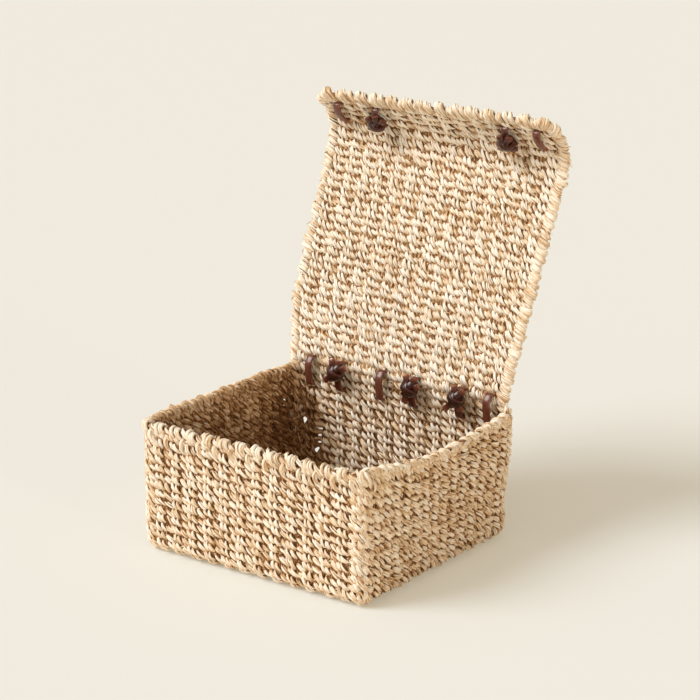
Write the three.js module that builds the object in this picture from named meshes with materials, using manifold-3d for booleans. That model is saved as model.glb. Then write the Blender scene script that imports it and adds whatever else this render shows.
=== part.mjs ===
// Woven napkin box: a twined basket with a flat woven lid that is laced to its back wall with leather.
// Millimetres, +Z up. The origin is the middle of the underside. The front wall faces -Y.
import * as THREE from 'three';
import { mergeVertices } from 'three/addons/utils/BufferGeometryUtils.js';
import Module from 'manifold-3d';

const wasm = await Module();
wasm.setup();

// Basket
const WIDTH = 165;
const DEPTH = 150;
const HEIGHT = 82;
const WALL = 6;
const CORNER = 10;
const FOOT = 9;
const RIGHT_BOW = 1;
const LEFT_BOW = 2;
const RIGHT_SAG = 7.5;
const LEFT_SAG = 1;

// Weave: upright ribs where the weft passes over each stake, and the dips between them
const FRONT_RIBS = 12;
const SIDE_RIBS = 13;
const LID_RIBS = 13;
const RIB_DIP = 0.8;
const STEPS_PER_RIB = 3;

// Rims and edges
const RIM = 5;
const FRONT_LOOP = 1;
const SIDE_LOOP = 0.5;
const SIDE_LOOPS = 17;
const SELVAGE = 5;
const SELVAGE_TURN = 10.8;

// Lid, hinged on the inner top edge of the back wall and leaning back
const LEAN = THREE.MathUtils.degToRad(22);
const LID_LEFT = WIDTH / 2 + 9.5;
const LID_RIGHT = WIDTH / 2 + 3;
const LID_THICK = 5.6;
const LID_FLAT = DEPTH - WALL - 1;
const BEND = THREE.MathUtils.degToRad(65);
const BEND_RADIUS = 15;
const LIP = 20;
const LIP_CORNER = 12;
const LEFT_NECK = 8;
const LEFT_NECK_LENGTH = 45;
const RIGHT_TAPER = 6;

// Leather laces: each has a strap place and a knot place, measured from the middle of the box
const LACE_WIDTH = 4.6;
const LACE_THICK = 1.6;
const HINGE_LACES = {
  left: [-0.388 * WIDTH, -0.248 * WIDTH],
  middle: [-0.061 * WIDTH, 0.088 * WIDTH],
  right: [0.415 * WIDTH, 0.294 * WIDTH],
};
const LIP_LACES = {
  left: [-0.461 * WIDTH, -0.282 * WIDTH],
  right: [0.427 * WIDTH, 0.294 * WIDTH],
};
const WALL_HOLE = 11;
const LID_HOLE = 6.6;
const LIP_HOLE = 7.5;
const LACE_BOW = 2.6;
const KNOT = new THREE.Vector3(5.6, 4.2, 5.4);
const TAIL = 7.5;
const TAIL_LIFT = 0.2;

// Clearances
const GAP = 0.3;
const LACE_GAP = 0.3;
const SLOT_GAP = 0.8;
const LID_GAP = 0.5;

const AXIS = new THREE.Vector3(0, DEPTH / 2 - WALL, HEIGHT + LID_GAP);

const straw = new THREE.MeshStandardMaterial({ color: 0xdcc096, roughness: 0.85, metalness: 0 });
const strawEdge = new THREE.MeshStandardMaterial({ color: 0xe4cca6, roughness: 0.85, metalness: 0 });
const leather = new THREE.MeshStandardMaterial({ color: 0x4a2a20, roughness: 0.5, metalness: 0 });

// Moves every vertex by place(), joins the seams and turns the faces outward.
function shaped(geometry, place) {
  const plain = geometry.index ? geometry : mergeVertices(geometry);
  plain.deleteAttribute('normal');
  plain.deleteAttribute('uv');
  const position = plain.attributes.position;
  const point = new THREE.Vector3();
  for (let i = 0; i < position.count; i += 1) {
    point.fromBufferAttribute(position, i);
    position.setXYZ(i, ...place(point).toArray());
  }
  const joined = mergeVertices(plain, 1e-5);
  if (volume(joined) < 0) {
    const index = joined.index;
    for (let i = 0; i < index.count; i += 3) {
      const first = index.getX(i);
      index.setX(i, index.getX(i + 1));
      index.setX(i + 1, first);
    }
  }
  return joined;
}

function volume(geometry) {
  const [a, b, c] = [new THREE.Vector3(), new THREE.Vector3(), new THREE.Vector3()];
  const { index } = geometry;
  const { position } = geometry.attributes;
  let sum = 0;
  for (let i = 0; i < index.count; i += 3) {
    a.fromBufferAttribute(position, index.getX(i));
    b.fromBufferAttribute(position, index.getX(i + 1));
    c.fromBufferAttribute(position, index.getX(i + 2));
    sum += a.dot(b.cross(c));
  }
  return sum / 6;
}

// A sheet of the weave: place(i, side, k) gives the point at step i along, step k up, side 0 in or 1 out.
function sheet(along, up, place) {
  const box = new THREE.BoxGeometry(along, 1, up, along, 1, up);
  return shaped(box, (p) =>
    place(Math.round(p.x + along / 2), Math.round(p.y + 0.5), Math.round(p.z + up / 2)));
}

// A cord: place(k, a, b) gives the point at step k along, with a and b on the unit circle of its section.
function cord(steps, sides, place) {
  const rod = new THREE.CylinderGeometry(1, 1, steps, sides, steps);
  return shaped(rod, (p) => place(Math.round(p.y + steps / 2), p.x, p.z));
}

// A flat lace along a line of points that keeps one X, its width along X.
function strip(points, width, thick, steps) {
  const path = new THREE.CatmullRomCurve3(points, false, 'centripetal');
  const across = new THREE.Vector3(1, 0, 0);
  const box = new THREE.BoxGeometry(width, thick, steps, 1, 1, steps);
  return shaped(box, (p) => {
    const t = p.z / steps + 0.5;
    const normal = path.getTangent(t).cross(across).normalize();
    return path.getPoint(t).addScaledVector(across, p.x).addScaledVector(normal, p.y);
  });
}

function solid(geometry) {
  return new wasm.Manifold(new wasm.Mesh({
    numProp: 3,
    vertProperties: new Float32Array(geometry.attributes.position.array),
    triVerts: new Uint32Array(geometry.index.array),
  }));
}

function geometryOf(body) {
  const mesh = body.getMesh();
  const geometry = new THREE.BufferGeometry();
  geometry.setAttribute('position', new THREE.BufferAttribute(mesh.vertProperties, 3));
  geometry.setIndex(new THREE.BufferAttribute(mesh.triVerts, 1));
  return geometry;
}

function cut(geometry, cutters) {
  return geometryOf(cutters.reduce((body, cutter) => body.subtract(solid(cutter)), solid(geometry)));
}

function join(geometries) {
  const [first, ...rest] = geometries.map(solid);
  return geometryOf(rest.reduce((body, other) => body.add(other), first));
}

const part = new THREE.Group();
const lid = new THREE.Group();
part.add(lid);

function add(group, name, geometry, material) {
  const mesh = new THREE.Mesh(geometry, material);
  mesh.name = name;
  geometry.computeVertexNormals();
  group.add(mesh);
}

// Walls. Each runs from the middle of one rounded corner to the middle of the next and turns under to the floor.
const SIDES = {
  front: { turn: 0, length: WIDTH, half: DEPTH / 2, ribs: FRONT_RIBS, bow: 0, sag: 0 },
  right: { turn: 90, length: DEPTH, half: WIDTH / 2, ribs: SIDE_RIBS, bow: RIGHT_BOW, sag: RIGHT_SAG },
  back: { turn: 180, length: WIDTH, half: DEPTH / 2, ribs: FRONT_RIBS, bow: 0, sag: 0 },
  left: { turn: 270, length: DEPTH, half: WIDTH / 2, ribs: SIDE_RIBS, bow: LEFT_BOW, sag: LEFT_SAG },
};
const CORNER_STEPS = 3;

// Point in plan at a station along one side, a given depth in from the outer face.
function onSide(side, station, steps, inset, z) {
  const straight = side.length / 2 - CORNER;
  const run = steps - 2 * CORNER_STEPS;
  const inRun = THREE.MathUtils.clamp(station - CORNER_STEPS, 0, run);
  let x = (inRun / run) * 2 * straight - straight;
  const into = Math.max(CORNER_STEPS - station, station - CORNER_STEPS - run, 0) / CORNER_STEPS;
  const angle = (into * Math.PI) / 4;
  const sign = Math.sign(station - steps / 2);
  const lift = (z / HEIGHT) ** 1.5;
  const bow = side.bow * lift * (1 - (x / straight) ** 2);
  x += sign * (CORNER - inset) * Math.sin(angle);
  let y = -(side.half - CORNER + (CORNER - inset) * Math.cos(angle)) - bow;
  if (into === 1) {
    x -= sign * (GAP / 2) * Math.SQRT1_2;
    y -= (GAP / 2) * Math.SQRT1_2;
  }
  return new THREE.Vector3(x, y, z).applyAxisAngle(
    new THREE.Vector3(0, 0, 1), THREE.MathUtils.degToRad(side.turn));
}

function sagAt(side, station, steps) {
  const t = THREE.MathUtils.clamp((station - CORNER_STEPS) / (steps - 2 * CORNER_STEPS), 0, 1) * 2 - 1;
  return side.sag * (1 - t * t) ** 1.5;
}

// How far the face dips between ribs: none over a stake, all of it midway.
function dip(step) {
  return step % STEPS_PER_RIB === 0 ? RIB_DIP : 0;
}

const FOOT_STEPS = 3;
const WALL_STEPS = 2;

function wall(side) {
  const steps = side.ribs * STEPS_PER_RIB + 2 * CORNER_STEPS;
  return sheet(steps, FOOT_STEPS + WALL_STEPS, (i, outside, k) => {
    const straightPart = i > CORNER_STEPS && i < steps - CORNER_STEPS;
    const hollow = straightPart ? dip(i - CORNER_STEPS) : 0;
    const turn = (Math.min(k / FOOT_STEPS, 1) * Math.PI) / 2;
    const radius = outside ? FOOT - hollow : FOOT - WALL + hollow;
    const inset = FOOT - radius * Math.sin(turn);
    let z = FOOT - radius * Math.cos(turn);
    if (k > FOOT_STEPS) {
      const top = HEIGHT - RIM - GAP - sagAt(side, i, steps);
      z = FOOT + ((top - FOOT) * (k - FOOT_STEPS)) / WALL_STEPS;
    }
    return onSide(side, i, steps, inset, z);
  });
}

// Rim border of a wall: a thick turned edge with one swell for each loop.
function rim(side, loops, swell, stepsPerLoop, sides) {
  const steps = loops * stepsPerLoop + 2 * CORNER_STEPS;
  const middle = HEIGHT - RIM / 2;
  return cord(steps, sides, (k, a, b) => {
    const full = k < CORNER_STEPS || k > steps - CORNER_STEPS || (k - CORNER_STEPS) % stepsPerLoop;
    const less = full ? 0 : swell;
    const height = b > 0 ? RIM / 2 - less : RIM / 2;
    const width = WALL / 2 + 0.2 - less / 2;
    const z = middle - sagAt(side, k, steps) + b * height;
    return onSide(side, k, steps, WALL / 2 + a * width, z);
  });
}

// Lid section: point at distance along from the axis and depth out from the inner face, in the lid's plane.
const BENT = BEND * BEND_RADIUS;
const LID_LENGTH = LID_FLAT + BENT + LIP;

function lidSection(along, out) {
  const angle = THREE.MathUtils.clamp((along - LID_FLAT) / BEND_RADIUS, 0, BEND);
  const past = Math.max(along - LID_FLAT - BENT, 0);
  const flat = Math.min(along, LID_FLAT);
  return new THREE.Vector3(
    0,
    -BEND_RADIUS + (BEND_RADIUS + out) * Math.cos(angle) - past * Math.sin(angle),
    flat + (BEND_RADIUS + out) * Math.sin(angle) + past * Math.cos(angle),
  );
}

// Edge of the lid on one side: drawn in towards the hinge and rounded at the lip's corners.
function lidEdge(sign, along) {
  const past = Math.max(along - (LID_LENGTH - LIP_CORNER), 0);
  const round = LIP_CORNER - Math.sqrt(Math.max(LIP_CORNER ** 2 - past ** 2, 0));
  const neck = LEFT_NECK * (1 - THREE.MathUtils.smoothstep(along, 0, LEFT_NECK_LENGTH));
  const taper = RIGHT_TAPER * Math.max(1 - along / LID_FLAT, 0);
  return sign < 0 ? -(LID_LEFT - neck - round) : LID_RIGHT - taper - round;
}

const BACK_EDGE = 3;
const BACK_EDGE_START = 1.4;
const PANEL_START = BACK_EDGE_START + BACK_EDGE + GAP;
const FRONT_BORDER = 5;
const LIP_END = LID_LENGTH - FRONT_BORDER - GAP;

function lidSheet(stations) {
  const steps = LID_RIBS * STEPS_PER_RIB;
  return sheet(steps, stations.length - 1, (i, outside, k) => {
    const along = stations[k];
    const left = lidEdge(-1, along) + SELVAGE + GAP;
    const right = lidEdge(1, along) - SELVAGE - GAP;
    const hollow = i > 0 && i < steps ? dip(i) : 0;
    const point = lidSection(along, outside ? LID_THICK - hollow : hollow);
    return point.setX(THREE.MathUtils.lerp(left, right, i / steps));
  });
}

// Side edge of the lid: a cord that swells where each pair of weft rows turns back.
function selvage(sign) {
  const start = PANEL_START;
  const turns = Math.round((LIP_END - start) / SELVAGE_TURN);
  const steps = turns * 2;
  return cord(steps, 6, (k, a, b) => {
    const along = start + ((LIP_END - start) * k) / steps;
    const size = k % 2 ? 1 : 0.82;
    const x = lidEdge(sign, along) - sign * (SELVAGE / 2) + (a * SELVAGE * size) / 2;
    return lidSection(along, LID_THICK / 2 + (b * LID_THICK * size) / 2).setX(x);
  });
}

// Edge across the lid, one swell for each loop of a stake and a rounded end at each side.
function crossEdge(start, size, loops, swell, inset) {
  const steps = loops * 3;
  const left = lidEdge(-1, start + size / 2) + inset;
  const right = lidEdge(1, start + size / 2) - inset;
  return cord(steps, 8, (k, a, b) => {
    const taper = k === 0 || k === steps ? 0.6 : 1;
    const less = k % 3 ? 0 : swell;
    const along = start + size / 2 + (a * taper * (size - (a > 0 ? less : 0))) / 2;
    const out = LID_THICK / 2 + (b * taper * (LID_THICK - less)) / 2;
    return lidSection(along, out).setX(THREE.MathUtils.lerp(left, right, k / steps));
  });
}

// Places on the inner face. Depth counts inward from the face, t from -1 at one hole to 1 at the other.
function onFold(depth, t) {
  const point = new THREE.Vector3(0, -depth, t * (t > 0 ? LID_HOLE : WALL_HOLE));
  if (t > 0) {
    point.applyAxisAngle(new THREE.Vector3(1, 0, 0), -LEAN);
  }
  return point.add(AXIS);
}

const LIP_MIDDLE = LID_LENGTH - 17;

function onLip(depth, t) {
  return lidSection(LIP_MIDDLE + t * LIP_HOLE, -depth);
}

// A lace through four holes: a bar inside at the first place, two bars across the outside to the second
// place, and the ends tied there inside, with two tails.
function lace([first, second], on, thick, bow) {
  const outside = -thick - LACE_GAP - LACE_THICK / 2;
  const at = (x, depth, t) => on(depth, t).setX(x);
  const bar = (x, lift) => strip([
    at(x, outside, -1), at(x, -thick / 2, -1), at(x, bow * 0.55, -0.96), at(x, bow + lift, -0.5),
    at(x, bow + lift * 1.3, 0), at(x, bow + lift, 0.5), at(x, bow * 0.55, 0.96), at(x, -thick / 2, 1),
    at(x, outside, 1),
  ], LACE_WIDTH, LACE_THICK, 18);
  const across = (t) => {
    const middle = at((first + second) / 2, outside, t);
    const up = at(0, outside, t + 0.01).sub(at(0, outside, t - 0.01));
    const angle = Math.atan2(up.z, up.y) - Math.PI / 2;
    const length = Math.abs(second - first) + LACE_WIDTH;
    const turn = new THREE.Matrix4().makeRotationX(angle).setPosition(middle);
    return shaped(new THREE.BoxGeometry(length, LACE_THICK, LACE_WIDTH), (p) => p.applyMatrix4(turn));
  };
  const inward = on(1, 0).sub(on(0, 0)).normalize();
  const up = on(0, 0.01).sub(on(0, -0.01)).normalize();
  const outward = inward.clone().negate();
  const seat = new THREE.Matrix4().makeBasis(new THREE.Vector3(1, 0, 0), outward, up)
    .setPosition(at(second, bow + KNOT.y - 0.6, 0));
  const knot = shaped(new THREE.SphereGeometry(1, 12, 8), (p) => p.multiply(KNOT).applyMatrix4(seat));
  const tail = (angle) => shaped(new THREE.BoxGeometry(LACE_WIDTH * 0.8, LACE_THICK, TAIL), (p) => {
    p.z += TAIL / 2 + KNOT.z * 0.55;
    p.applyAxisAngle(new THREE.Vector3(1, 0, 0), TAIL_LIFT);
    return p.applyAxisAngle(new THREE.Vector3(0, 1, 0), angle).applyMatrix4(seat);
  });
  return join([bar(first, 0), bar(second, 0.6), across(-1), across(1), knot, tail(0.6), tail(3.6)]);
}

// Slots for the legs of a lace at one of its two rows of holes.
function slots(places, on, t, thick) {
  return Object.values(places).flat().map((x) => strip(
    [on(-thick - 3, t).setX(x), on(-thick / 2, t).setX(x), on(3, t).setX(x)],
    LACE_WIDTH + 2 * LACE_GAP, LACE_THICK + 2 * SLOT_GAP, 2));
}

const toLid = (on) => (depth, t) => {
  const point = on(depth, t).sub(AXIS);
  return point.applyAxisAngle(new THREE.Vector3(1, 0, 0), LEAN);
};

// Floor, drawn as the outline where the walls turn under
const floor = new THREE.Shape();
const floorX = WIDTH / 2 - FOOT - GAP;
const floorY = DEPTH / 2 - FOOT - GAP;
const floorCorner = CORNER - FOOT;
floor.moveTo(-floorX + floorCorner, -floorY);
floor.absarc(floorX - floorCorner, -floorY + floorCorner, floorCorner, -Math.PI / 2, 0);
floor.absarc(floorX - floorCorner, floorY - floorCorner, floorCorner, 0, Math.PI / 2);
floor.absarc(-floorX + floorCorner, floorY - floorCorner, floorCorner, Math.PI / 2, Math.PI);
floor.absarc(-floorX + floorCorner, -floorY + floorCorner, floorCorner, Math.PI, Math.PI * 1.5);
const slab = new THREE.ExtrudeGeometry(floor, { depth: WALL, bevelEnabled: false, curveSegments: 4 });
add(part, 'floor_panel', shaped(slab, (p) => p), straw);

add(part, 'front_wall', wall(SIDES.front), straw);
add(part, 'right_wall', wall(SIDES.right), straw);
add(part, 'back_wall', cut(wall(SIDES.back), slots(HINGE_LACES, onFold, -1, WALL)), straw);
add(part, 'left_wall', wall(SIDES.left), straw);

add(part, 'front_rim', rim(SIDES.front, FRONT_RIBS, FRONT_LOOP, 3, 8), strawEdge);
add(part, 'right_rim', rim(SIDES.right, SIDE_LOOPS, SIDE_LOOP, 2, 6), strawEdge);
add(part, 'back_rim', rim(SIDES.back, FRONT_RIBS, SIDE_LOOP, 2, 6), strawEdge);
add(part, 'left_rim', rim(SIDES.left, SIDE_LOOPS, SIDE_LOOP, 2, 6), strawEdge);

// The lid stands in its own group, which turns about the hinge axis.
lid.position.copy(AXIS);
lid.rotation.x = -LEAN;
const panel = lidSheet([PANEL_START, 15, 30, LEFT_NECK_LENGTH, LID_FLAT - GAP]);
add(lid, 'lid_panel', cut(panel, slots(HINGE_LACES, toLid(onFold), 1, LID_THICK)), straw);
const lip = lidSheet([0, 0.25, 0.5, 0.75, 1].map((t) => LID_FLAT + t * BENT)
  .concat([0.5, 1].map((t) => LID_FLAT + BENT + t * (LIP_END - LID_FLAT - BENT))));
const lipSlots = [-1, 1].flatMap((t) => slots(LIP_LACES, onLip, t, LID_THICK));
add(lid, 'lid_lip', cut(lip, lipSlots), straw);
add(lid, 'lid_left_selvage', selvage(-1), strawEdge);
add(lid, 'lid_right_selvage', selvage(1), strawEdge);
add(lid, 'lid_front_border',
  crossEdge(LID_LENGTH - FRONT_BORDER, FRONT_BORDER, LID_RIBS, FRONT_LOOP, 0), strawEdge);
add(lid, 'lid_back_edge', crossEdge(BACK_EDGE_START, BACK_EDGE, LID_RIBS, SIDE_LOOP, 1), strawEdge);

for (const [name, places] of Object.entries(HINGE_LACES)) {
  add(part, `hinge_lace_${name}`, lace(places, onFold, WALL, LACE_BOW), leather);
}
for (const [name, places] of Object.entries(LIP_LACES)) {
  add(lid, `lip_lace_${name}`, lace(places, onLip, LID_THICK, LACE_BOW), leather);
}

export default part;
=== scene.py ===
"""Woven napkin box: every strand of the twining, the looped rims, the laced lid and its leather knots.

Lengths are in millimetres until a mesh is made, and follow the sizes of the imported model.
"""
import math

import bpy
import numpy as np
from mathutils import Matrix, Vector


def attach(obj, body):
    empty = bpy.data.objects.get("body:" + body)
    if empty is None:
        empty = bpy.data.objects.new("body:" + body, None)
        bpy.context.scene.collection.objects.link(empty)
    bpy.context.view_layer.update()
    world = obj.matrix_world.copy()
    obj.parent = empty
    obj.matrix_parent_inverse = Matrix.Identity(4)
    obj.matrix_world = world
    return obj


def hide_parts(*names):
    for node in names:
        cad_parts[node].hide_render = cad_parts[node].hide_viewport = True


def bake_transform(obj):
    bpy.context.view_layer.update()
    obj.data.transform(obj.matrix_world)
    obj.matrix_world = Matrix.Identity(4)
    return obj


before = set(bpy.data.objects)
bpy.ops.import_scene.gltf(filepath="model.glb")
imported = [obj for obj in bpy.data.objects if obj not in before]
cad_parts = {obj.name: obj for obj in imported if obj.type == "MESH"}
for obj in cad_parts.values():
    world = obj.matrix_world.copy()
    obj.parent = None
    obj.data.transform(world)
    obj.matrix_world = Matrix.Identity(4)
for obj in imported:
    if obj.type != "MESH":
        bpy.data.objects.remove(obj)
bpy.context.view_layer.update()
rng = np.random.default_rng(23)

# Box
WIDTH, DEPTH, HEIGHT = 165.0, 150.0, 82.0
WALL, CORNER, FOOT = 6.0, 10.0, 9.0
SIDES = [
    # turn, straight half length, distance of the face, stakes, bow, sag
    (0.0, WIDTH / 2 - CORNER, DEPTH / 2, 12, 0.0, 0.0),
    (90.0, DEPTH / 2 - CORNER, WIDTH / 2, 14, 1.0, 7.5),
    (180.0, WIDTH / 2 - CORNER, DEPTH / 2, 12, 0.0, 0.0),
    (270.0, DEPTH / 2 - CORNER, WIDTH / 2, 14, 2.0, 1.0),
]
STAKES = sum(side[3] + 1 for side in SIDES)
FOOT_ARC = (FOOT - WALL / 2) * math.pi / 2
RIM_TOP = FOOT_ARC + HEIGHT - FOOT  # length of a stake from the floor to the rim
RIM_ROOM = 5.3  # what the rim takes of that length
FRONT_ROWS, SIDE_ROWS = 15, 17
LOWEST = 1.25  # height of the middle of the lowest strands
FLOOR_X, FLOOR_Y = WIDTH / 2 - FOOT, DEPTH / 2 - FOOT
FLOOR_STAKES, FLOOR_ROWS = 12, 26
FLOOR_SIDE_GAP, FLOOR_TOP_GAP = 0.3, 0.6

# The right wall leans out at the back. The lean comes in over the stakes FLARE_START, goes over FLARE_END,
# and grows over the length FLARE_RISE of a stake.
FLARE, FLARE_RISE, FLARE_START, FLARE_END = 4.2, (25, 65), (22, 26.5), (28, 29.5)
# The back left corner is drawn in by TUCK along both sides.
TUCK, TUCK_REACH = 2.8, 25

# Daylight shows between the strands at the back left corner. Each gap is a line along THROUGH, given by its x
# and z where y is GAP_Y. It pushes strands away, in full up to GAP_FULL from it and not past GAP_REACH.
THROUGH = np.array([-0.58, 0.752, -0.313])
GAP_Y, GAP_PUSH, GAP_FULL, GAP_REACH = 65.0, 2.8, 1.6, 3.6
GAPS = [
    (-77.0, 58.1), (-82.6, 55.1), (-69.1, 54.4), (-76.3, 49.0), (-64.4, 51.3), (-66.6, 46.2), (-77.2, 39.6),
    (-66.9, 33.7), (-52.7, 47.7), (-53.5, 43.0), (-53.9, 38.3), (-55.1, 34.1), (-56.3, 29.2),
]
GAP_ZONE_X, GAP_ZONE_Y = -35, 25  # only strands further left and further back are pushed

# Lid
LEAN = math.radians(22)
FOLD_RISE, LEFT_OVERHANG, RIGHT_OVERHANG = 0.5, 9.5, 3
AXIS = np.array([0.0, DEPTH / 2 - WALL, HEIGHT + FOLD_RISE])
LID_LEFT, LID_RIGHT, LID_THICK = WIDTH / 2 + LEFT_OVERHANG, WIDTH / 2 + RIGHT_OVERHANG, 5.6
BEND_INSET = 1  # the bend starts this far behind the front face
LID_FLAT = DEPTH - WALL - BEND_INSET
BEND, BEND_RADIUS, LIP = math.radians(65), 15.0, 20.0
BENT = BEND * BEND_RADIUS
LID_LENGTH = LID_FLAT + BENT + LIP
LIP_CORNER, LEFT_NECK, LEFT_NECK_LENGTH, RIGHT_TAPER = 12.0, 8.0, 45.0, 6.0
SELVAGE, LIP_BORDER, LID_STAKES, LID_ROWS = 5.3, 5.3, 14, 33
LID_START, LIP_END = 1.4, LID_LENGTH - LIP_BORDER
LID_ROW = (LIP_END - LID_START) / LID_ROWS

# Laces: the place of the strap and of the knot across the width
LACE_WIDTH, LACE_THICK, LACE_BOW = 4.6, 1.6, 2.6
HINGE_LACES = {"left": (-64.0, -41.0), "middle": (-10.0, 14.5), "right": (68.5, 48.5)}
LIP_LACES = {"left": (-76.0, -46.5), "right": (70.5, 48.5)}
WALL_HOLE, LID_HOLE, LIP_HOLE, LIP_INSET = 12.6, 5.2, 7.5, 17
LIP_MIDDLE = LID_LENGTH - LIP_INSET
ACROSS = np.array([1.0, 0, 0])


def about(value, amount):
    """A number near value, with amount as the standard deviation."""
    return value + rng.normal(0, amount)


def unit(v):
    return v / np.maximum(np.linalg.norm(v, axis=-1, keepdims=True), 1e-9)


def smooth(x, low, high):
    t = np.clip((x - low) / (high - low), 0, 1)
    return t * t * (3 - 2 * t)


def curve(points, count):
    """Catmull-Rom curve through points, sampled evenly by length."""
    p = np.asarray(points, float)
    p = np.vstack([2 * p[0] - p[1], p, 2 * p[-1] - p[-2]])
    t = np.linspace(0, 1, 12, endpoint=False)[:, None]
    parts = []
    for a, b, c, d in zip(p[:-3], p[1:-2], p[2:-1], p[3:]):
        square, cube = 2 * a - 5 * b + 4 * c - d, 3 * b - a - 3 * c + d
        parts.append(0.5 * (2 * b + (c - a) * t + square * t**2 + cube * t**3))
    fine = np.vstack(parts + [p[-2][None]])
    run = np.concatenate([[0], np.cumsum(np.linalg.norm(np.diff(fine, axis=0), axis=1))])
    where = np.linspace(0, run[-1], count)
    return np.stack([np.interp(where, run, fine[:, k]) for k in range(fine.shape[1])], axis=1)


def opened(points):
    """Points pushed away from the gaps."""
    near = ((points[..., 0] < GAP_ZONE_X) & (points[..., 1] > GAP_ZONE_Y))[..., None]
    for x, z in GAPS:
        away = points - (x, GAP_Y, z)
        away = away - (away @ THROUGH)[..., None] * THROUGH
        far = np.maximum(np.linalg.norm(away, axis=-1, keepdims=True), 1e-6)
        push = (np.hypot(far, GAP_PUSH) - far) * (1 - smooth(far, GAP_FULL, GAP_REACH))
        points = points + near * away / far * push
    return points


# Surfaces. Each takes a place in stakes q, a place v along the stakes and a height n out of the middle of the
# weave, and gives points and outward normals. Seen from outside, q grows to the right.
def wall_at(q, v, n):
    q, v, n = np.broadcast_arrays(*(np.asarray(a, float) for a in (q, v, n)))
    turn = np.clip(v / FOOT_ARC, 0, 1) * math.pi / 2
    radius = FOOT - WALL / 2 + n
    inset = FOOT - radius * np.sin(turn)
    rise = np.maximum(v - FOOT_ARC, 0)
    low = FOOT - radius * np.cos(turn)
    x, y, z = (np.zeros_like(q) for _ in range(3))
    nx, ny = np.zeros_like(q), np.zeros_like(q)
    around = np.mod(q, STAKES)
    start = 0
    for angle, straight, half, count, bow, sag in SIDES:
        across = np.clip((around - start) / count, 0, 1) * 2 - 1
        corner = np.clip(around - start - count, 0, 1)
        here = (around >= start) & (around < start + count + 1)
        height = low + rise * (HEIGHT - FOOT - sag * (1 - across**2) ** 1.5) / (HEIGHT - FOOT)
        swell = bow * (np.clip(height, 0, None) / HEIGHT) ** 1.5 * (1 - across**2)
        tilt = corner * math.pi / 2
        px = across * straight + (CORNER - inset) * np.sin(tilt)
        py = -(half - CORNER + (CORNER - inset) * np.cos(tilt)) - swell
        c, s = math.cos(math.radians(angle)), math.sin(math.radians(angle))
        x = np.where(here, px * c - py * s, x)
        y = np.where(here, px * s + py * c, y)
        z = np.where(here, height, z)
        nx = np.where(here, np.sin(tilt) * c + np.cos(tilt) * s, nx)
        ny = np.where(here, np.sin(tilt) * s - np.cos(tilt) * c, ny)
        start += count + 1
    leaning = smooth(around, *FLARE_START) * (1 - smooth(around, *FLARE_END))
    x = x + FLARE * smooth(v, *FLARE_RISE) * leaning
    tuck = TUCK * (1 - smooth(np.hypot(x + WIDTH / 2, y - DEPTH / 2), 0, TUCK_REACH))
    points = opened(np.stack([x + tuck, y - tuck, np.maximum(z, LOWEST)], axis=-1))
    normals = np.stack([nx * np.sin(turn), ny * np.sin(turn), -np.cos(turn)], axis=-1)
    return points, normals


def wall_pitch(q):
    """Distance between stakes, which is the arc of the weave's middle at a corner."""
    around = np.mod(q, STAKES)
    pitch = np.full_like(around, (CORNER - WALL / 2) * math.pi / 2)
    start = 0
    for _, straight, _, count, _, _ in SIDES:
        pitch = np.where((around >= start) & (around < start + count), 2 * straight / count, pitch)
        start += count + 1
    return pitch


def lid_edge(sign, along):
    """Place across of the left (-1) or right (1) edge, at a length along the lid."""
    along = np.asarray(along, float)
    past = np.maximum(along - (LID_LENGTH - LIP_CORNER), 0)
    rounding = LIP_CORNER - np.sqrt(np.maximum(LIP_CORNER**2 - past**2, 0))
    neck = LEFT_NECK * (1 - smooth(along, 0, LEFT_NECK_LENGTH))
    taper = RIGHT_TAPER * np.maximum(1 - along / LID_FLAT, 0)
    return -(LID_LEFT - neck - rounding) if sign < 0 else LID_RIGHT - taper - rounding


def lid_point(x, along, n):
    """Point of the lid at x across, a length along it, and a height out of the middle of its weave."""
    x, along, n = np.broadcast_arrays(*(np.asarray(a, float) for a in (x, along, n)))
    angle = np.clip((along - LID_FLAT) / BEND_RADIUS, 0, BEND)
    past = np.maximum(along - LID_FLAT - BENT, 0)
    radius = BEND_RADIUS + LID_THICK / 2 + n
    y = -BEND_RADIUS + radius * np.cos(angle) - past * np.sin(angle)
    z = np.minimum(along, LID_FLAT) + radius * np.sin(angle) + past * np.cos(angle)
    c, s = math.cos(LEAN), math.sin(LEAN)
    points = np.stack([x, y * c + z * s, z * c - y * s], axis=-1) + AXIS
    ny, nz = np.cos(angle), np.sin(angle)
    normals = np.stack([np.zeros_like(x), ny * c + nz * s, nz * c - ny * s], axis=-1)
    return points, normals


def lid_at(q, v, n):
    q = np.asarray(q, float)
    right, left = lid_edge(1, v) - SELVAGE, lid_edge(-1, v) + SELVAGE
    return lid_point(right + (left - right) * q / LID_STAKES, v, n)


def lid_pitch(q):
    return np.full_like(q, (LID_LEFT + LID_RIGHT - 2 * SELVAGE) / LID_STAKES)


def floor_at(q, v, n):
    q, v, n = np.broadcast_arrays(*(np.asarray(a, float) for a in (q, v, n)))
    x = (q / FLOOR_STAKES * 2 - 1) * (FLOOR_X - FLOOR_SIDE_GAP)
    points = np.stack([x, -v, np.clip(WALL / 2 - n, LOWEST, WALL - FLOOR_TOP_GAP)], axis=-1)
    return points, np.broadcast_to(np.array([0.0, 0.0, -1.0]), points.shape)


def floor_pitch(q):
    return np.full_like(q, 2 * FLOOR_X / FLOOR_STAKES)


# Strands
def ring(sides):
    angle = np.arange(sides) * 2 * math.pi / sides
    return np.stack([np.cos(angle), np.sin(angle)], axis=1)


FIVE, EIGHT = ring(5), ring(8)
TWIST = 0.16  # radians per millimetre by which the fibres wind round a strand
GRAIN = 900  # length of grain of which each strand takes its own stretch
CELL_SHAPE, MARGIN_U, MARGIN_V = 1.5, 0.02, 0.08  # of a strand's cell in the bake map


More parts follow.
